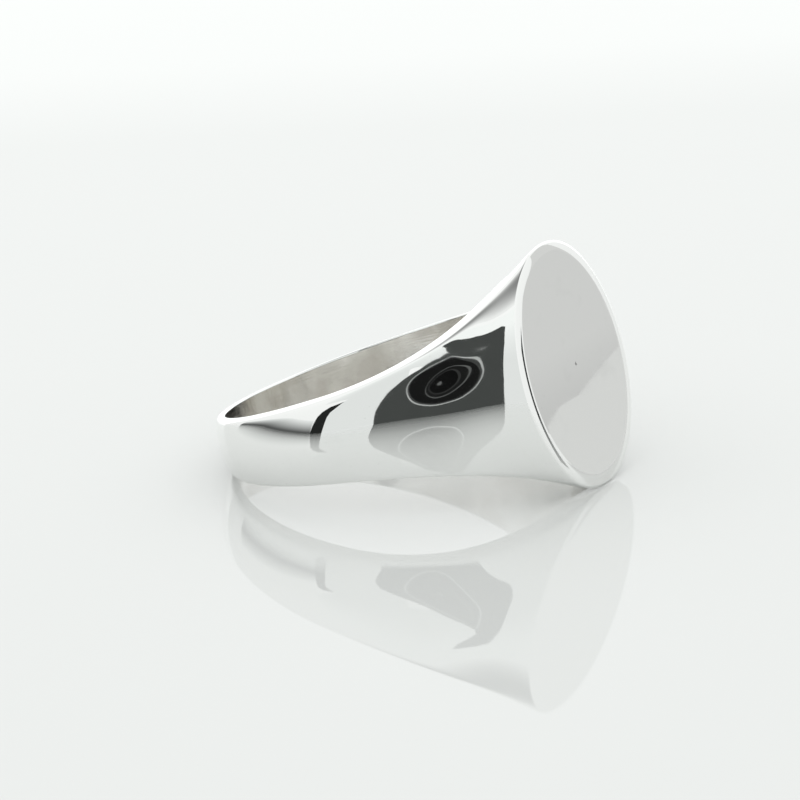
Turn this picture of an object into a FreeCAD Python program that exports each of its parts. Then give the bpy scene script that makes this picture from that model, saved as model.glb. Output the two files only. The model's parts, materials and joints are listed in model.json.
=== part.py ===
import FreeCAD, Part
import math
import os

# A gentleman's signet ring with a plain oval table, made up on the bench from a shank, two
# shoulders, a head block and a face plate, all soldered together.  It lies on its side, resting on
# the table's edge and the back of the shank.
#
# The ring is drawn in its own coordinates: u = side to side, v = along the finger, w = from the
# middle of the finger towards the table.  lay_down() then lays it on its side, table towards +X.
#
# Every section is the overlap of two ellipses centred on the finger's axis.  The dome ellipse is
# long along the finger and gives the band its domed outside.  The rim ellipse is long across the
# finger and gives the two narrow rim faces.  They meet in a crisp corner, which fades into the
# oval of the table.  All sizes are millimetres.

# Driving dimensions
BORE_RADIUS = 9.5             # finger hole, US size 9
TABLE_HALF_LENGTH = 6.75      # oval face, along the finger
TABLE_HALF_WIDTH = 5.8        # oval face, across the finger
TABLE_HEIGHT = 10.85          # widest outline of the table, above the middle of the finger
BEVEL_HEIGHT = 0.15           # polished bevel around the table
BEVEL_WIDTH = 0.22
SIDE_RADIUS = 10.85           # outside of the band beside the finger
BACK_RADIUS = 10.2            # outside of the band at the back of the finger
PLATE_THICKNESS = 0.9         # face plate, without its bevel
SHOULDER_HEIGHT = 7.2         # where the shoulders meet the head block
SOLDER_THICKNESS = 0.06       # a run solder joint

# The shoulder's outline seen along the finger: a Bezier curve from the band to the table's edge
SIDE_HANDLE = 3.4             # handle straight up from the band
TABLE_HANDLE = 2.9            # handle at the table's edge
TABLE_LEAN = math.radians(47.0)   # that handle's lean from upright

# Half lengths of the dome ellipse along the finger: a longer one is a flatter dome
TABLE_DOME = 6.8
SIDE_DOME = 7.5
BACK_DOME = 6.75
SHOULDER_FLATNESS = 10.5      # how much longer it grows along the shoulders

# Rim ellipse: half length along the finger, and reach across it
SIDE_RIM = 2.8
BACK_RIM = 1.77
RIM_TAPER = 0.87              # 1 narrows the shank evenly, and less narrows it late
SIDE_RIM_REACH = 16.3
TABLE_RIM_REACH = 6.6
RIM_FLARE = 2.6               # a higher power widens the rim closer to the table

# How finely the surfaces are drawn
ARC_POINTS = 13
HEAD_SECTIONS = 17
SHANK_SECTIONS = 19
INSIDE_BORE = 8.8             # shank sections are closed off inside the bore
LARGE = 30.0                  # reaches past the ring on every side


def shoulder_point(t):
    """Half width across the finger and height, from the band at t = 0 to the table at t = 1."""
    lean_across = TABLE_HANDLE * math.sin(TABLE_LEAN)
    lean_down = TABLE_HANDLE * math.cos(TABLE_LEAN)
    across = (SIDE_RADIUS, SIDE_RADIUS, TABLE_HALF_WIDTH + lean_across, TABLE_HALF_WIDTH)
    height = (0.0, SIDE_HANDLE, TABLE_HEIGHT - lean_down, TABLE_HEIGHT)
    weights = ((1 - t) ** 3, 3 * t * (1 - t) ** 2, 3 * t ** 2 * (1 - t), t ** 3)
    u = sum(weight * value for weight, value in zip(weights, across))
    w = sum(weight * value for weight, value in zip(weights, height))
    return u, w


def head_ellipses(half_width, w):
    """The dome and rim ellipses at height w: each half size across, then along the finger."""
    x = w / TABLE_HEIGHT
    dome = TABLE_DOME + (1 - x ** 4) ** 5 * (SIDE_DOME - TABLE_DOME + SHOULDER_FLATNESS * x ** 1.5)
    slope = (SIDE_RIM - BACK_RIM) * (2 - RIM_TAPER) / SIDE_RADIUS
    flare = TABLE_HALF_LENGTH - SIDE_RIM - slope * TABLE_HEIGHT
    rim = SIDE_RIM + slope * w + flare * x ** RIM_FLARE
    reach = SIDE_RIM_REACH + (TABLE_RIM_REACH - SIDE_RIM_REACH) * x ** 2
    return half_width, dome, reach, rim


def shank_ellipses(turn):
    """The same two ellipses at an angle around the finger, which is half a turn at the back."""
    beside = math.sin(turn) ** 2
    front = 1 + math.cos(turn)
    radius = BACK_RADIUS + (SIDE_RADIUS - BACK_RADIUS) * beside ** 2
    dome = BACK_DOME + (SIDE_DOME - BACK_DOME) * beside
    rim = BACK_RIM + (SIDE_RIM - BACK_RIM) * (RIM_TAPER * front + (1 - RIM_TAPER) * front ** 2)
    return radius, dome, SIDE_RIM_REACH, rim


def corner(radius, dome, reach, rim):
    """Where the dome meets the rim face: distance across, and along the finger."""
    cross = 1 / (radius * rim) ** 2 - 1 / (dome * reach) ** 2
    across = math.sqrt((1 / rim ** 2 - 1 / dome ** 2) / cross)
    along = math.sqrt((1 / radius ** 2 - 1 / reach ** 2) / cross)
    return across, along


def dome_arc(ellipses):
    """The domed outside from one corner to the other, as pairs across and along."""
    radius, dome, reach, rim = ellipses
    end = math.asin(corner(*ellipses)[1] / dome)
    angles = [end * (2 * i / (ARC_POINTS - 1) - 1) for i in range(ARC_POINTS)]
    return [(radius * math.cos(angle), dome * math.sin(angle)) for angle in angles]


def rim_arc(ellipses, start, end):
    """The rim face between two distances across the finger."""
    radius, dome, reach, rim = ellipses
    steps = [start + (end - start) * i / (ARC_POINTS - 1) for i in range(ARC_POINTS)]
    return [(across, rim * math.sqrt(1 - (across / reach) ** 2)) for across in steps]


def spline_edge(points):
    curve = Part.BSplineCurve()
    last = len(points) - 1
    curve.interpolate(Points=points, Parameters=[i / last for i in range(last + 1)])
    return curve.toShape()


def head_outline(half_width, w, inset=0.0, rise=0.0):
    """The closed outline of the head or shoulders at height w, drawn inset and raised."""
    radius, dome, reach, rim = head_ellipses(half_width, w)
    ellipses = (radius - inset, dome - inset, reach, rim - inset)
    across = corner(*ellipses)[0]
    near = dome_arc(ellipses)
    top = rim_arc(ellipses, across, -across)
    far = [(-u, -v) for u, v in near]
    bottom = [(-u, -v) for u, v in top]
    level = w + rise
    edges = [spline_edge([FreeCAD.Vector(u, v, level) for u, v in arc]) for arc in (near, top, far, bottom)]
    return Part.Wire(edges)


def shank_outline(turn):
    """The shank's section, closed inside the bore."""
    ellipses = shank_ellipses(turn)
    near = dome_arc(ellipses)
    top = rim_arc(ellipses, corner(*ellipses)[0], INSIDE_BORE)
    bottom = [(r, -v) for r, v in reversed(top)]

    def place(arc):
        return [FreeCAD.Vector(r * math.sin(turn), v, r * math.cos(turn)) for r, v in arc]

    inner = Part.LineSegment(place(top)[-1], place(bottom)[0]).toShape()
    return Part.Wire([spline_edge(place(near)), spline_edge(place(top)), inner, spline_edge(place(bottom))])


def bore():
    start = FreeCAD.Vector(0, -LARGE, 0)
    return Part.makeCylinder(BORE_RADIUS, 2 * LARGE, start, FreeCAD.Vector(0, 1, 0))


def layer(low, high):
    """Everything between two heights."""
    corner_point = FreeCAD.Vector(-LARGE, -LARGE, low)
    return Part.makeBox(2 * LARGE, 2 * LARGE, high - low, corner_point)


def head_and_shoulders():
    """The ring from the middle of the finger up to the table's widest outline."""
    profile = [shoulder_point(i / (HEAD_SECTIONS - 1)) for i in range(HEAD_SECTIONS)]
    return Part.makeLoft([head_outline(u, w) for u, w in profile], True, False).cut(bore())


def table_bevel():
    """The polished bevel and the flat face, above the table's widest outline."""
    lower = head_outline(TABLE_HALF_WIDTH, TABLE_HEIGHT)
    upper = head_outline(TABLE_HALF_WIDTH, TABLE_HEIGHT, BEVEL_WIDTH, BEVEL_HEIGHT)
    return Part.makeLoft([lower, upper], True, True)


def shank():
    """The back half of the band."""
    turns = [math.pi * (0.5 + i / (SHANK_SECTIONS - 1)) for i in range(SHANK_SECTIONS)]
    return Part.makeLoft([shank_outline(turn) for turn in turns], True, False).cut(bore())


def pieces():
    """Every piece of the ring: its node's name and its solids."""
    upper = head_and_shoulders()
    plate_low = TABLE_HEIGHT - PLATE_THICKNESS
    shoulders = upper.common(layer(SOLDER_THICKNESS, SHOULDER_HEIGHT)).Solids
    shoulders.sort(key=lambda solid: solid.CenterOfMass.x)
    plate = upper.common(layer(plate_low + SOLDER_THICKNESS, TABLE_HEIGHT))
    return {
        "face_plate": plate.fuse(table_bevel()).removeSplitter().Solids,
        "face_plate_solder": upper.common(layer(plate_low, plate_low + SOLDER_THICKNESS)).Solids,
        "head_block": upper.common(layer(SHOULDER_HEIGHT + SOLDER_THICKNESS, plate_low)).Solids,
        "head_solder": upper.common(layer(SHOULDER_HEIGHT, SHOULDER_HEIGHT + SOLDER_THICKNESS)).Solids,
        "left_shoulder": shoulders[:1],
        "right_shoulder": shoulders[1:],
        "shank_solder": upper.common(layer(0.0, SOLDER_THICKNESS)).Solids,
        "shank": shank().Solids,
    }


def resting_tilt():
    """The finger axis's angle from upright when the table's edge and the shank touch the bench."""
    ellipses = shank_ellipses(math.pi)
    lower_edge = dome_arc(ellipses) + rim_arc(ellipses, corner(*ellipses)[0], BORE_RADIUS)
    return math.atan(min((TABLE_HALF_LENGTH - v) / (TABLE_HEIGHT + r) for r, v in lower_edge))


def lay_down(solids, tilt, shift):
    """Turns the ring onto its side and moves it to the row's origin."""
    c = math.cos(tilt)
    s = math.sin(tilt)
    matrix = FreeCAD.Matrix(0, -s, c, shift.x, 1, 0, 0, shift.y, 0, c, s, shift.z, 0, 0, 0, 1)
    for solid in solids:
        solid.Placement = FreeCAD.Placement(matrix)


ring = pieces()
tilt = resting_tilt()
everything = [solid for solids in ring.values() for solid in solids]
lay_down(everything, tilt, FreeCAD.Vector(0, 0, 0))
box = Part.makeCompound(everything).optimalBoundingBox(False, False)
shift = FreeCAD.Vector(-(box.XMin + box.XMax) / 2, -(box.YMin + box.YMax) / 2, -box.ZMin)
lay_down(everything, tilt, shift)

os.makedirs("parts", exist_ok=True)
for name, solids in ring.items():
    shape = solids[0] if len(solids) == 1 else Part.makeCompound(solids)
    shape.exportStep("parts/" + name + ".step")
    print(name, len(solids), "solids", round(shape.Volume, 3), "mm3")
print("tilt", round(math.degrees(tilt), 4), "origin to the finger's middle", shift)
print("box", round(box.XLength, 3), round(box.YLength, 3), round(box.ZLength, 3))
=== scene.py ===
import json
import math

import bmesh
import bpy
import numpy as np
from mathutils import Matrix, Vector


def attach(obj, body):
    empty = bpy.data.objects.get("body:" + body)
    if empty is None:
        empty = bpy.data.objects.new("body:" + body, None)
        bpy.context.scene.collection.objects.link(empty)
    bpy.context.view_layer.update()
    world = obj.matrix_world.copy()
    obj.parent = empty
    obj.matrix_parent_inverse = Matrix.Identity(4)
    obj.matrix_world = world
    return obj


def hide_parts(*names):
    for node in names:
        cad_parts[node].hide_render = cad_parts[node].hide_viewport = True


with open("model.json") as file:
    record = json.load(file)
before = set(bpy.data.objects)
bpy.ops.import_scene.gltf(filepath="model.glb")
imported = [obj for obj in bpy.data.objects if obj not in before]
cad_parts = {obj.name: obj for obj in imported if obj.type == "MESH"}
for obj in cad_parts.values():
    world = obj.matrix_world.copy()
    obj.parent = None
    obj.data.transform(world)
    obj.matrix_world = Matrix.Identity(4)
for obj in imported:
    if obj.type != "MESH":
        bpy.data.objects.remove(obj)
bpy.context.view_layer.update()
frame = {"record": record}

# The ring is drawn in its own coordinates, in millimetres: u = side to side, v = along the finger,
# w = from the middle of the finger towards the table.  Every section is the overlap of a dome
# ellipse and a rim ellipse, as in the CAD part.  The whole outside is one smooth skin, cut at the
# seams into the CAD part's pieces, so that the polished-out joints don't show.

MM = 0.001
MOUNTS = {mount["name"]: mount for mount in frame["record"]["mounts"]}
MIDDLE = Vector(MOUNTS["finger_bore"]["pos_m"])
FINGER = Vector(MOUNTS["finger_bore"]["axis"])
HEADWARD = Vector((FINGER.z, 0.0, -FINGER.x))
BORE_RADIUS = MOUNTS["finger_bore"]["dims"]["r_mm"]

# Sizes of the CAD part
TABLE_HALF_LENGTH = 6.75
TABLE_HALF_WIDTH = 5.8
TABLE_HEIGHT = 10.85
BEVEL_HEIGHT = 0.15
SIDE_RADIUS = 10.85
BACK_RADIUS = 10.2
PLATE_THICKNESS = 0.9
SHOULDER_HEIGHT = 7.2
SOLDER_THICKNESS = 0.06
SIDE_HANDLE = 3.4
TABLE_HANDLE = 2.9
TABLE_LEAN = math.radians(47.0)
TABLE_DOME = 6.8
SIDE_DOME = 7.5
BACK_DOME = 6.75
SHOULDER_FLATNESS = 10.5
SIDE_RIM = 2.8
BACK_RIM = 1.77
RIM_TAPER = 0.87
SIDE_RIM_REACH = 16.3
TABLE_RIM_REACH = 6.6
RIM_FLARE = 2.6

# What polishing leaves: softened edges, and a table that is very slightly domed
EDGE_BLEND = 0.5
BORE_EDGE = 0.12
TABLE_CROWN = 0.02
BEVEL_RUN = 0.8               # the bevel rolls off softly, further in than the CAD part's
BEVEL_STEEP = 0.5             # where its curve turns, as a share of that run
BEVEL_START = 0.2             # how much of it blends into the shoulder
TABLE_BLEND = 0.3             # softens the corners of the oval
FACE_CENTRE = 0.008           # the face's innermost ring, as a share of the oval

# How finely the skin is drawn: columns are counted from the widest line to the bore
DOME_COLUMNS = 34
CORNER_COLUMNS = 14
RIM_COLUMNS = 12
BORE_EDGE_COLUMNS = 6
BORE_COLUMNS = 10
SHANK_ROWS = 44
SHOULDER_ROWS = 36
BLOCK_ROWS = 26
CROWN_ROWS = 4
PLATE_ROWS = 14
BEVEL_ROWS = 16
TABLE_RINGS = 14
NUDGE = 1e-3                  # step for slopes, in millimetres and radians
WELD_DIGITS = 5               # points that agree to this many digits of a millimetre are one

# ---------------------------------------------------------------- the ring's surface


def bezier_profile():
    """The shoulder's outline seen along the finger: heights and half widths."""
    t = np.linspace(0, 1, 8001)
    lean_across = TABLE_HANDLE * math.sin(TABLE_LEAN)
    lean_down = TABLE_HANDLE * math.cos(TABLE_LEAN)
    across = (SIDE_RADIUS, SIDE_RADIUS, TABLE_HALF_WIDTH + lean_across, TABLE_HALF_WIDTH)
    height = (0.0, SIDE_HANDLE, TABLE_HEIGHT - lean_down, TABLE_HEIGHT)
    weights = ((1 - t) ** 3, 3 * t * (1 - t) ** 2, 3 * t ** 2 * (1 - t), t ** 3)
    half_widths = sum(weight * value for weight, value in zip(weights, across))
    heights = sum(weight * value for weight, value in zip(weights, height))
    return heights, half_widths


PROFILE_HEIGHTS, PROFILE_HALF_WIDTHS = bezier_profile()


def head_ellipses(w):
    """Half sizes of the dome ellipse, then of the rim ellipse, at height w."""
    x = np.clip(w / TABLE_HEIGHT, 0, 1)
    half_width = np.interp(w, PROFILE_HEIGHTS, PROFILE_HALF_WIDTHS)
    dome = TABLE_DOME + (1 - x ** 4) ** 5 * (SIDE_DOME - TABLE_DOME + SHOULDER_FLATNESS * x ** 1.5)
    slope = (SIDE_RIM - BACK_RIM) * (2 - RIM_TAPER) / SIDE_RADIUS
    flare = TABLE_HALF_LENGTH - SIDE_RIM - slope * TABLE_HEIGHT
    rim = SIDE_RIM + slope * w + flare * x ** RIM_FLARE
    reach = SIDE_RIM_REACH + (TABLE_RIM_REACH - SIDE_RIM_REACH) * x ** 2
    blend = EDGE_BLEND * (1 - x ** 4) + TABLE_BLEND * x ** 4
    return half_width, dome, reach, rim, blend


def shank_ellipses(turn):
    """The same at an angle around the finger, which is half a turn at the back."""
    beside = np.sin(turn) ** 2
    front = 1 + np.cos(turn)
    radius = BACK_RADIUS + (SIDE_RADIUS - BACK_RADIUS) * beside ** 2
    dome = BACK_DOME + (SIDE_DOME - BACK_DOME) * beside
    rim = BACK_RIM + (SIDE_RIM - BACK_RIM) * (RIM_TAPER * front + (1 - RIM_TAPER) * front ** 2)
    return radius, dome, SIDE_RIM_REACH + 0 * turn, rim, EDGE_BLEND + 0 * turn


def soft_min(p, q, blend):
    """The smaller of two values, rounded off where they cross."""
    near = np.maximum(blend - np.abs(p - q), 0) / blend
    return np.minimum(p, q) - near ** 3 * blend / 6


def section(ellipses, angle):
    """Distances across and along the finger of a section's outside."""
    radius, dome, reach, rim, blend = ellipses
    across = radius * np.cos(angle)
    along = soft_min(dome * np.sin(angle), rim * np.sqrt(1 - (across / reach) ** 2), blend)
    return across, along


def head_point(w, angle):
    across, along = section(head_ellipses(w), angle)
    return np.stack([across, along, w + 0 * angle], -1)


def shank_point(turn, angle):
    across, along = section(shank_ellipses(turn), angle)
    return np.stack([across * np.sin(turn), along, across * np.cos(turn)], -1)


def column_angles(ellipses, inner):
    """Section angles of each row's columns, closest around the corner, up to the distance inner."""
    radius, dome, reach, rim, blend = ellipses
    cross = 1 / (radius * rim) ** 2 - 1 / (dome * reach) ** 2
    corner_across = np.sqrt((1 / rim ** 2 - 1 / dome ** 2) / cross)
    corner = np.arccos(np.clip(corner_across / radius, 0, 1))
    end = np.arccos(inner / radius)
    before = np.minimum(2 * blend / dome, 0.4 * corner)
    after = np.minimum(2 * blend / dome, 0.4 * (end - corner))
    stops = np.cumsum([0, DOME_COLUMNS, CORNER_COLUMNS, RIM_COLUMNS])
    columns = np.arange(stops[-1] + 1)
    corners = zip(corner - before, corner + after, end)
    return np.array([np.interp(columns, stops, [0, *angles]) for angles in corners])


def unit(vectors):
    return vectors / np.linalg.norm(vectors, axis=-1, keepdims=True)


def surface(point, rows, angles):
    """Points and outward normals on a grid of rows and section angles."""
    rows = rows[:, None]
    points = point(rows, angles)
    down = np.where(rows - NUDGE < 0, rows, rows - NUDGE) if point is head_point else rows - NUDGE
    up = np.minimum(rows + NUDGE, TABLE_HEIGHT) if point is head_point else rows + NUDGE
    along_rows = point(up, angles) - point(down, angles)
    along_columns = point(rows, angles + NUDGE) - point(rows, angles - NUDGE)
    normals = unit(np.cross(along_columns, along_rows))
    from_middle = points * (1, 1, 0) if point is head_point else points
    outward = np.sum(normals * from_middle, -1, keepdims=True)
    return points, np.where(outward < 0, -normals, normals)


def bore_side(edge_points, edge_normals, turns):
    """The rounded edge and the bore wall, down to the middle of the band, beside each row's edge."""
    radial = np.stack([np.sin(turns), 0 * turns, np.cos(turns)], -1)
    top = edge_points[:, 1]
    wall = BORE_RADIUS * radial
    control = wall + np.outer(top, (0, 1, 0))
    wall_top = wall + np.outer(top - BORE_EDGE, (0, 1, 0))
    points = []
    normals = []
    for s in np.linspace(0, 1, BORE_EDGE_COLUMNS + 1)[1:]:
        points.append((1 - s) ** 2 * edge_points + 2 * s * (1 - s) * control + s ** 2 * wall_top)
        normals.append(unit((1 - s) * edge_normals - s * radial))
    for s in np.linspace(1, 0, BORE_COLUMNS + 1)[1:]:
        points.append(wall + np.outer(s * (top - BORE_EDGE), (0, 1, 0)))
        normals.append(-radial)
    return np.stack(points, 1), np.stack(normals, 1)


# ---------------------------------------------------------------- pieces of the skin


class Piece:
    """One piece of the ring: faces with a normal at every corner."""

    def __init__(self, name):
        self.name = name
        self.index = {}
        self.points = []
        self.faces = []
        self.corner_normals = []
        self.material_numbers = []

    def vertex(self, point):
        key = tuple(np.round(point, WELD_DIGITS) + 0.0)
        if key not in self.index:
            self.index[key] = len(self.points)
            self.points.append(point)
        return self.index[key]

    def add_grid(self, points, normals, material_number=0, sides=(1, -1)):
        """Adds a grid and its mirror images, across the finger on the given sides and along it."""
        for u_sign in sides:
            for v_sign in (1, -1):
                flip = np.array([u_sign, v_sign, 1.0])
                self.add_quads(points * flip, normals * flip, material_number)

    def add_quads(self, points, normals, material_number):
        rows, columns = points.shape[:2]
        ids = [[self.vertex(points[i, j]) for j in range(columns)] for i in range(rows)]
        for i in range(rows - 1):
            for j in range(columns - 1):
                corners = {}
                for a, b in ((i, j), (i, j + 1), (i + 1, j + 1), (i + 1, j)):
                    corners.setdefault(ids[a][b], normals[a, b])
                if len(corners) > 2:
                    self.add_face(corners, material_number)

    def add_face(self, corners, material_number):
        order = list(corners)
        a, b, c = (np.array(self.points[k]) for k in order[:3])
        facing = sum(corners.values())
        last = np.array(self.points[order[-1]])
        if np.dot(np.cross(b - a, c - a) + np.cross(c - a, last - a), facing) < 0:
            order.reverse()
        self.faces.append(order)
        self.corner_normals.append([corners[k] for k in order])
        self.material_numbers.append(material_number)


def skin_strip(pieces, point, rows, turns, ellipses):
    """A strip of skin with its bore wall, between the rows given."""
    inner = (BORE_RADIUS + BORE_EDGE) * (np.sin(turns) if point is head_point else 1 + 0 * turns)
    points, normals = surface(point, rows, column_angles(ellipses(rows), inner))
    bore_points, bore_normals = bore_side(points[:, -1], normals[:, -1], turns)
    edge = BORE_EDGE_COLUMNS
    rounded_points = np.concatenate([points, bore_points[:, :edge]], 1)
    rounded_normals = np.concatenate([normals, bore_normals[:, :edge]], 1)
    for piece, sides in pieces:
        piece.add_grid(rounded_points, rounded_normals, 0, sides)
        piece.add_grid(bore_points[:, edge - 1:], bore_normals[:, edge - 1:], 1, sides)


def shank_strip(piece):
    turns = np.linspace(math.pi / 2, math.pi, SHANK_ROWS + 1)
    skin_strip([(piece, (1, -1))], shank_point, turns, turns, shank_ellipses)


def leg_strip(pieces, low, high, count):
    """Legs of the head and shoulders beside the bore, between two heights."""
    outer = BORE_RADIUS + BORE_EDGE
    turns = np.linspace(math.acos(low / outer), math.acos(min(high / outer, 1)), count + 1)
    skin_strip(pieces, head_point, outer * np.cos(turns), turns, head_ellipses)


def crown_strip(piece, low, high, count):
    """The head above the bore, between two heights."""
    rows = np.linspace(low, high, count + 1)
    points, normals = surface(head_point, rows, column_angles(head_ellipses(rows), 0 * rows))
    piece.add_grid(points, normals)


def table_top(piece):
    """The bevel and the polished oval face."""
    rows = np.array([TABLE_HEIGHT])
    angles = column_angles(head_ellipses(rows), 0 * rows)
    outline = head_point(rows[:, None], angles)[0]
    ahead = head_point(rows[:, None], angles + NUDGE)[0]
    behind = head_point(rows[:, None], angles - NUDGE)[0]
    tangent = ahead - behind
    outward = unit(np.stack([tangent[:, 1], -tangent[:, 0], 0 * tangent[:, 0]], -1))
    upward = np.array([0.0, 0.0, 1.0])
    shoulder = surface(head_point, rows, angles)[1][0]
    points = []
    normals = []
    for share in np.linspace(0, 1, BEVEL_ROWS + 1):
        inset = BEVEL_RUN * (2 * share * (1 - share) * BEVEL_STEEP + share ** 2)
        rise = BEVEL_HEIGHT * (2 * share * (1 - share) + share ** 2)
        inset_slope = BEVEL_RUN * ((1 - 2 * share) * BEVEL_STEEP + share)
        rise_slope = BEVEL_HEIGHT * (1 - share)
        points.append(outline - inset * outward + rise * upward)
        bevel = unit(rise_slope * outward + inset_slope * upward)
        blended = max(0, 1 - share / BEVEL_START)
        normals.append(unit(blended * shoulder + (1 - blended) * bevel))
    piece.add_grid(np.stack(points), np.stack(normals))
    rim = points[-1] - (0, 0, TABLE_CROWN)
    middle = np.array([0, 0, TABLE_HEIGHT + BEVEL_HEIGHT])
    shares = np.linspace(1, FACE_CENTRE, TABLE_RINGS + 1)[:, None, None]
    face = middle + (rim - middle) * np.concatenate([shares, shares, shares ** 2], -1)
    oval = np.array([TABLE_HALF_WIDTH ** 2, TABLE_HALF_LENGTH ** 2, 1])
    slopes = 2 * TABLE_CROWN * (face - middle) * (1, 1, 0) / oval
    piece.add_grid(face, unit(slopes + upward))
    quarter = face[-1]
    half = np.concatenate([quarter, quarter[::-1] * (-1, 1, 1)])
    ring = np.concatenate([half, half[::-1] * (1, -1, 1)])
    piece.add_face({piece.vertex(point): upward for point in ring}, 0)


def ring_pieces():
    """The pieces' names are the CAD nodes' names."""
    names = ("shank", "shank_solder", "left_shoulder", "right_shoulder", "head_solder",
             "head_block", "face_plate_solder", "face_plate")
    made = {name: Piece(name) for name in names}
    both = (1, -1)
    plate_low = TABLE_HEIGHT - PLATE_THICKNESS
    crown = BORE_RADIUS + BORE_EDGE
    shoulders = [(made["left_shoulder"], (-1,)), (made["right_shoulder"], (1,))]
    shank_strip(made["shank"])
    leg_strip([(made["shank_solder"], both)], 0.0, SOLDER_THICKNESS, 1)
    leg_strip(shoulders, SOLDER_THICKNESS, SHOULDER_HEIGHT, SHOULDER_ROWS)
    leg_strip([(made["head_solder"], both)], SHOULDER_HEIGHT, SHOULDER_HEIGHT + SOLDER_THICKNESS, 1)
    leg_strip([(made["head_block"], both)], SHOULDER_HEIGHT + SOLDER_THICKNESS, crown, BLOCK_ROWS)
    crown_strip(made["head_block"], crown, plate_low, CROWN_ROWS)
    crown_strip(made["face_plate_solder"], plate_low, plate_low + SOLDER_THICKNESS, 1)
    crown_strip(made["face_plate"], plate_low + SOLDER_THICKNESS, TABLE_HEIGHT, PLATE_ROWS)
    table_top(made["face_plate"])
    return made


# From the ring's coordinates, in millimetres, to the row frame, in metres
TURN = Matrix((Vector((0, 1, 0)), FINGER, HEADWARD)).transposed()


def make_object(piece, materials):
    """A closed mesh: the piece's skin, with its seams closed by flat faces."""
    shape = bmesh.new()
    vertices = [shape.verts.new(MIDDLE + TURN @ Vector(point) * MM) for point in piece.points]
    for order, number in zip(piece.faces, piece.material_numbers):
        face = shape.faces.new([vertices[k] for k in order])
        face.material_index = number
    skin_faces = len(piece.faces)
    bmesh.ops.holes_fill(shape, edges=[edge for edge in shape.edges if edge.is_boundary], sides=0)
    shape.faces.ensure_lookup_table()
    shape.normal_update()
    corner_normals = [TURN @ Vector(normal) for normals in piece.corner_normals for normal in normals]
    for face in shape.faces[skin_faces:]:
        corner_normals += [face.normal.copy()] * len(face.verts)
    mesh = bpy.data.meshes.new(piece.name + "_skin")
    shape.to_mesh(mesh)
    shape.free()
    mesh.polygons.foreach_set("use_smooth", [True] * len(mesh.polygons))
    mesh.normals_split_custom_set(corner_normals)
    made = bpy.data.objects.new("polished_" + piece.name, mesh)
    bpy.context.scene.collection.objects.link(made)
    for material in materials:
        mesh.materials.append(material)
    return made


# ---------------------------------------------------------------- materials


class Nodes:
    """Short forms for building a node tree."""

    def __init__(self, tree):
        self.tree = tree

    def add(self, kind, inputs=(), **settings):
        node = self.tree.nodes.new(kind)
        for key, value in settings.items():
            setattr(node, key, value)
        for key, value in dict(inputs).items():
            if isinstance(value, bpy.types.NodeSocket):
                self.tree.links.new(value, node.inputs[key])
            else:
                node.inputs[key].default_value = value
        return node

    def noise(self, vector, scale, detail=3.0, roughness=0.5):
        inputs = {"Vector": vector, "Scale": scale, "Detail": detail, "Roughness": roughness}
        return self.add("ShaderNodeTexNoise", inputs).outputs["Fac"]

    def spread(self, value, low, high, to_low, to_high):
        """Maps low..high to to_low..to_high, and holds beyond."""
        inputs = {"Value": value, "From Min": low, "From Max": high,
                  "To Min": to_low, "To Max": to_high}
        return self.add("ShaderNodeMapRange", inputs).outputs["Result"]

    def mix(self, share, first, second):
        node = self.add("ShaderNodeMix", {0: share, 6: first, 7: second}, data_type="RGBA")
        return node.outputs[2]


def metal_nodes(name):
    """An empty metal, and coordinates that lie along the ring: x across, y along the finger."""
    material = bpy.data.materials.new(name)
    material.use_nodes = True
    material.node_tree.nodes.clear()
    nodes = Nodes(material.node_tree)
    place = nodes.add("ShaderNodeTexCoord").outputs["Object"]
    turn = TURN.inverted().to_euler()
    ring_place = nodes.add("ShaderNodeMapping", {"Vector": place, "Rotation": turn}).outputs["Vector"]
    return material, nodes, ring_place


def finish_metal(nodes, colour, roughness, height, depth):
    """Joins colour, roughness and a height in metres to the surface."""
    bump = nodes.add("ShaderNodeBump", {"Height": height, "Strength": 1.0, "Distance": depth})
    inputs = {"Base Color": colour, "Metallic": 1.0, "Roughness": roughness,
              "Normal": bump.outputs["Normal"]}
    surface_node = nodes.add("ShaderNodeBsdfPrincipled", inputs)
    nodes.add("ShaderNodeOutputMaterial", {"Surface": surface_node.outputs["BSDF"]})


# How fine the marks of the finish and the bore's patches of painted reflection are, in noise scales
# per metre, and how deep, in metres
SMUDGE_SCALE = 600.0
PIT_SCALE = 5200.0
POLISH_SCALE = 900.0
WAVE_SCALE = 260.0
WAVE_DEPTH = 0.9e-6
MOTTLE_SCALE = 700.0
REFLECTION_PATCH_SCALE = 420.0
MANDREL_SCALE = (60.0, 9000.0, 60.0)
SATIN_DEPTH = 12e-6
LINE_SHARE = 0.25             # of the mandrel's lines in the satin's height


def polished_metal(name, colour, smudged_colour):
    """Mirror polish with a buffing wheel's waves, faint smudges and a few fine pits."""
    material, nodes, place = metal_nodes(name)
    smudges = nodes.spread(nodes.noise(place, SMUDGE_SCALE, 2.0), 0.62, 0.8, 0.0, 0.6)
    pits = nodes.spread(nodes.noise(place, PIT_SCALE, 1.0), 0.745, 0.79, 0.0, 1.0)
    marks = nodes.add("ShaderNodeMath", {0: smudges, 1: pits}, operation="MAXIMUM")
    tint = nodes.mix(marks.outputs["Value"], colour, smudged_colour)
    roughness = nodes.spread(nodes.noise(place, POLISH_SCALE, 4.0), 0.35, 0.75, 0.018, 0.05)
    waves = nodes.noise(place, WAVE_SCALE, 1.0, 0.4)
    finish_metal(nodes, tint, roughness, waves, WAVE_DEPTH)
    return material


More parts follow.
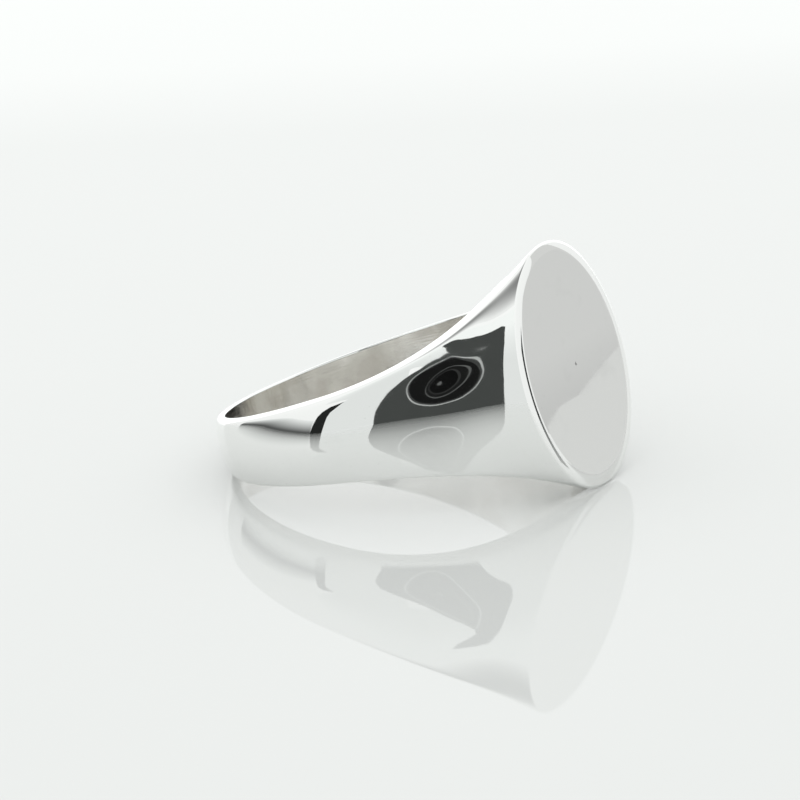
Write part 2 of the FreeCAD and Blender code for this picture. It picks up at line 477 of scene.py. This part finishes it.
def satin_metal(name, colour, shaded_colour):
    """The bore: less finished, with a mandrel's lines around the finger, a mottled sheen, and light
    and dark patches of painted reflection in its colour.
    """
    material, nodes, place = metal_nodes(name)
    stretched = nodes.add("ShaderNodeMapping", {"Vector": place, "Scale": MANDREL_SCALE})
    lines = nodes.noise(stretched.outputs["Vector"], 1.0, 3.0)
    mottling = nodes.noise(place, MOTTLE_SCALE, 5.0, 0.62)
    # Painted reflection: light and dark patches mix the shaded colour into the colour, for the ring's
    # inside reflected in the bore.
    reflection_patches = nodes.spread(nodes.noise(place, REFLECTION_PATCH_SCALE, 3.0, 0.5), 0.4, 0.6, 0.0, 1.0)
    tint = nodes.mix(reflection_patches, shaded_colour, colour)
    roughness = nodes.spread(mottling, 0.3, 0.7, 0.05, 0.22)
    inputs = {0: lines, 1: LINE_SHARE, 2: mottling}
    height = nodes.add("ShaderNodeMath", inputs, operation="MULTIPLY_ADD").outputs["Value"]
    finish_metal(nodes, tint, roughness, height, SATIN_DEPTH)
    return material


def cover_ring():
    """Every CAD node is replaced by its polished piece."""
    silver = polished_metal("polished_silver", (0.905, 0.91, 0.9, 1), (0.85, 0.855, 0.845, 1))
    # The second colour of each satin is a shaded copy, mixed in as painted reflection in the bore.
    silver_bore = satin_metal("satin_silver", (0.95, 0.94, 0.915, 1), (0.77, 0.75, 0.715, 1))
    solder = polished_metal("polished_solder", (0.9, 0.905, 0.89, 1), (0.84, 0.845, 0.83, 1))
    solder_bore = satin_metal("satin_solder", (0.87, 0.85, 0.81, 1), (0.61, 0.59, 0.55, 1))
    for name, piece in ring_pieces().items():
        soldered = "solder" in name
        made = make_object(piece, (solder, solder_bore) if soldered else (silver, silver_bore))
        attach(made, "root")
        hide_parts(name)


# ---------------------------------------------------------------- camera

CAMERA_AZIMUTH = math.radians(28.87)
CAMERA_ELEVATION = math.radians(15.92)
CAMERA_ROLL = math.radians(-2.71)
CAMERA_DISTANCE = 310.0
CAMERA_LENS = 257.6           # millimetres, on a sensor 36 mm wide
AIM_ASIDE = -0.09             # aim point from the middle of the finger hole
AIM_UP = -0.27

TOWARDS_CAMERA = Vector((math.sin(CAMERA_AZIMUTH), -math.cos(CAMERA_AZIMUTH), 0.0))
ASIDE = Vector((math.cos(CAMERA_AZIMUTH), math.sin(CAMERA_AZIMUTH), 0.0))


def make_camera():
    back = TOWARDS_CAMERA * math.cos(CAMERA_ELEVATION) + Vector((0, 0, math.sin(CAMERA_ELEVATION)))
    level_up = back.cross(ASIDE)
    right = ASIDE * math.cos(CAMERA_ROLL) + level_up * math.sin(CAMERA_ROLL)
    up = back.cross(right)
    data = bpy.data.cameras.new("camera")
    data.lens = CAMERA_LENS
    data.sensor_width = 36.0
    data.clip_start = 0.01
    data.clip_end = 10.0
    camera = bpy.data.objects.new("camera", data)
    turn = Matrix((right, up, back)).transposed().to_4x4()
    aim = right * AIM_ASIDE + up * AIM_UP
    camera.matrix_world = Matrix.Translation(MIDDLE + (aim + back * CAMERA_DISTANCE) * MM) @ turn
    bpy.context.scene.collection.objects.link(camera)
    bpy.context.scene.camera = camera


# ---------------------------------------------------------------- studio

FLOOR_RADIUS = 1.5            # metres
CARD_DISTANCE = 300.0         # from the ring to the cards around the camera, in millimetres
WALL_FOOT = -5.0              # the front wall reaches a little below the floor
WALL_TOP = 440.0

# Outlines traced from reflections in the photo to the cards' planes, aside and up in millimetres
LEFT_CORNER = [
    (-240, -5), (-400, -5), (-394, 40), (-388, 78), (-383, 117), (-361, 139), (-319, 146), (-235, 130),
]
LEFT_WALL = [
    (-284, -5), (-284, 30), (-287, 60), (-292, 90), (-288, 109), (-262, 122), (-235, 134),
    (-420, 230), (-420, 440), (-56, 440), (-56, -5),
]
OPENING = [
    (-102, -5), (-106, 21), (-108, 40), (-105, 60), (-96, 82), (-70, 107), (-30, 139), (19, 195),
    (37, 228), (38, 255), (24, 290), (8, 322), (0, 366), (38, 362), (60, 337), (75, 279),
    (88, 232), (99, 173), (113, 83), (116, -5),
]
NEAR_EDGE = [
    (-1, 5.8), (-3, 5.3), (-4.8, 4.8), (-6.1, 4.3), (-8, 3.4), (-9.5, 3.3), (-10.6, 2.6), (-14, 2),
]
HOOD = [
    (-57, 74), (-57, 90), (-48, 109), (-30, 128), (-3, 156), (22, 187), (36, 214), (41, 220),
    (44, 203), (52, 161), (57, 134), (55, 104), (47, 76), (36, 57), (25, 42), (8, 33),
    (-9, 27), (-25, 30), (-40, 38), (-51, 54),
]
GLASS = [
    (-26, 69), (-14, 103), (6, 134), (28, 168), (37, 172), (39, 144), (34, 111), (23, 82),
    (5, 55), (-14, 48),
]

# Colours of the light
TENT_WHITE = (0.97, 1.0, 0.985)
TENT_DARK = (0.93, 1.0, 0.96)
BACK_WHITE = (0.985, 1.0, 0.995)
GREY_CARD_TINT = (0.99, 1.0, 0.985)
AIR_WHITE = (0.985, 1.0, 0.99)
LENS_TINT = (0.96, 1.0, 0.98)

# The lens's rings shrink towards this point, aside and up in millimetres
LENS_POINT = (-2.0, 92.0)
# Each ring's name, outline, size as a share of the outline, and light
LENS_RINGS = (
    ("rim", HOOD, 1.0, 0.5),
    ("barrel", HOOD, 0.96, 0.055),
    ("hood", HOOD, 0.9, 0.01),
    ("thread", GLASS, 1.04, 0.12),
    ("groove", GLASS, 0.98, 0.012),
    ("step", GLASS, 0.78, 0.035),
    ("glass", GLASS, 0.7, 0.006),
    ("glint", GLASS, 0.12, 0.14),
)


def mesh_object(name, points, faces, material):
    mesh = bpy.data.meshes.new(name)
    mesh.from_pydata(points, [], faces)
    mesh.materials.append(material)
    made = bpy.data.objects.new(name, mesh)
    bpy.context.scene.collection.objects.link(made)
    return made


def glow(name, colour, strength):
    """A lit surface.  Its strength is a number, or a function that builds it from the nodes."""
    material = bpy.data.materials.new(name)
    material.use_nodes = True
    material.node_tree.nodes.clear()
    nodes = Nodes(material.node_tree)
    amount = strength(nodes) if callable(strength) else strength
    light = nodes.add("ShaderNodeEmission", {"Color": (*colour, 1), "Strength": amount})
    nodes.add("ShaderNodeOutputMaterial", {"Surface": light.outputs["Emission"]})
    return material


def fading(low, high, low_strength, high_strength):
    """Light that changes from one height to another, in millimetres."""
    def build(nodes):
        place = nodes.add("ShaderNodeTexCoord").outputs["Object"]
        height = nodes.add("ShaderNodeSeparateXYZ", {"Vector": place}).outputs["Z"]
        return nodes.spread(height, low * MM, high * MM, low_strength, high_strength)

    return build


def roof_light(nodes):
    """Dark in the roof's middle and light at its edge, by distance from the floor's middle."""
    place = nodes.add("ShaderNodeTexCoord").outputs["Object"]
    distance = nodes.add("ShaderNodeVectorMath", {0: place}, operation="LENGTH").outputs["Value"]
    return nodes.spread(distance, 0.502, 0.565, 0.2, 0.92)


def round_points(radius, count):
    """Points around a circle about the origin."""
    angles = [2 * math.pi * step / count for step in range(count)]
    return [(radius * math.cos(angle), radius * math.sin(angle)) for angle in angles]


def floor():
    """A sheet of glossy white acrylic."""
    material = bpy.data.materials.new("white_acrylic")
    material.use_nodes = True
    shader = material.node_tree.nodes["Principled BSDF"]
    shader.inputs["Base Color"].default_value = (0.765, 0.775, 0.765, 1)
    shader.inputs["Roughness"].default_value = 0.02
    points = [(x, y, 0.0) for x, y in round_points(FLOOR_RADIUS, 96)]
    mesh_object("floor", points, [tuple(range(len(points)))], material)


def reflected_only(thing):
    """Shows in reflections, and neither to the camera nor as a light."""
    thing.visible_camera = False
    thing.visible_diffuse = False
    thing.visible_shadow = False
    thing.visible_transmission = False
    thing.visible_volume_scatter = False


def card(name, outline, material, distance=CARD_DISTANCE, turn=0.0):
    """A flat upright card that faces the ring, turned this many degrees to the camera's right.

    Its outline is aside and up in millimetres.
    """
    angle = math.radians(turn)
    ahead = TOWARDS_CAMERA * math.cos(angle) + ASIDE * math.sin(angle)
    sideways = ASIDE * math.cos(angle) - TOWARDS_CAMERA * math.sin(angle)
    points = []
    for aside, height in outline:
        point = MIDDLE + (ahead * distance + sideways * aside) * MM
        points.append((point.x, point.y, height * MM))
    made = mesh_object(name, points, [tuple(range(len(points)))], material)
    reflected_only(made)


def oblong(left, right, low, high):
    return [(left, low), (left, high), (right, high), (right, low)]


def roof(radius, height):
    """A round card above the ring, facing down."""
    points = [(x * MM, y * MM, height * MM) for x, y in round_points(radius, 64)]
    material = glow("tent_roof", AIR_WHITE, roof_light)
    made = mesh_object("roof", points, [tuple(range(len(points)))], material)
    reflected_only(made)


def softened(outline):
    """The outline with its corners cut, three times over."""
    for cut in range(3):
        ends = zip(outline, outline[1:] + outline[:1])
        outline = [(x + k * (p - x), y + k * (q - y)) for (x, y), (p, q) in ends for k in (0.25, 0.75)]
    return outline


def shrunk(outline, centre, share):
    """The same outline, smaller about a centre."""
    middle_x, middle_y = centre
    return [(middle_x + share * (x - middle_x), middle_y + share * (y - middle_y)) for x, y in outline]


def lens_rings():
    """The lens that looks in through the opening, as a stack of cards."""
    for number, (name, outline, share, strength) in enumerate(LENS_RINGS):
        material = glow("lens_" + name, LENS_TINT, strength)
        smaller = shrunk(outline, LENS_POINT, share)
        card("lens_" + name, softened(smaller), material, CARD_DISTANCE - 2 - number)


def front_cards():
    """The white front wall of the light tent, its dark opening and its dark left corner."""
    white = glow("tent_white", TENT_WHITE, fading(150, 340, 0.83, 1.02))
    black = glow("tent_corner", TENT_DARK, 0.02)
    card("left_corner", LEFT_CORNER, black, CARD_DISTANCE + 4)
    card("left_wall", LEFT_WALL, white)
    card("right_wall", oblong(60, 260, WALL_FOOT, WALL_TOP), white)
    card("top_wall", oblong(-129, 150, 150, 480), white, CARD_DISTANCE + 0.5)
    card("opening", OPENING, glow("tent_opening", TENT_DARK, 0.065), CARD_DISTANCE - 1)


def side_cards():
    """The tent elsewhere: the foot of its left wall, painted darker towards the floor as shade, a gap
    in its right wall, a white back, two greys, the near one with painted shade at its foot, and a
    roof.
    """
    # Painted shade: the foot of the left wall is darker towards the floor, for the shade where it
    # meets the floor.
    foot_shade = glow("tent_foot_shade", TENT_WHITE, fading(8, 85, 0.1, 0.9))
    card("left_foot_shade", oblong(-330, 214, 0, 85), foot_shade, 380, -82)
    card("right_gap", oblong(-17, 17, 0, 44), glow("tent_gap", TENT_DARK, 0.05), 300, 101)
    back = glow("back_white", BACK_WHITE, fading(66, 75, 1.42, 1.24))
    card("back_card", oblong(-260, 260, 0, 420), back, 400, 182)
    card("grey_wall", oblong(-42, 42, 0, 200), glow("grey_paper", GREY_CARD_TINT, 0.7), 400, 120)
    # Painted shade: this grey card is darker towards the floor, for the shadow at the foot of the back
    # wall.
    shade = glow("near_grey", GREY_CARD_TINT, fading(2.6, 6.5, 0.58, 0.665))
    near = NEAR_EDGE + [(-18, 2), (-18, 18), (-1, 18)]
    card("near_grey", near, shade, 60, 118.5)
    roof(280, 500)


def soft_world():
    """White all round, a little brighter above."""
    world = bpy.data.worlds.new("white_tent")
    bpy.context.scene.world = world
    world.use_nodes = True
    world.node_tree.nodes.clear()
    nodes = Nodes(world.node_tree)
    direction = nodes.add("ShaderNodeTexCoord").outputs["Generated"]
    height = nodes.add("ShaderNodeSeparateXYZ", {"Vector": direction}).outputs["Z"]
    strength = nodes.spread(height, 0.0, 0.6, 0.95, 1.03)
    inputs = {"Color": (*AIR_WHITE, 1), "Strength": strength}
    background = nodes.add("ShaderNodeBackground", inputs)
    nodes.add("ShaderNodeOutputWorld", {"Surface": background.outputs["Background"]})


def show_plain_colours():
    """White stays white: no film curve."""
    bpy.context.scene.view_settings.view_transform = "Standard"


make_camera()
show_plain_colours()
soft_world()
floor()
front_cards()
side_cards()
lens_rings()
cover_ring()
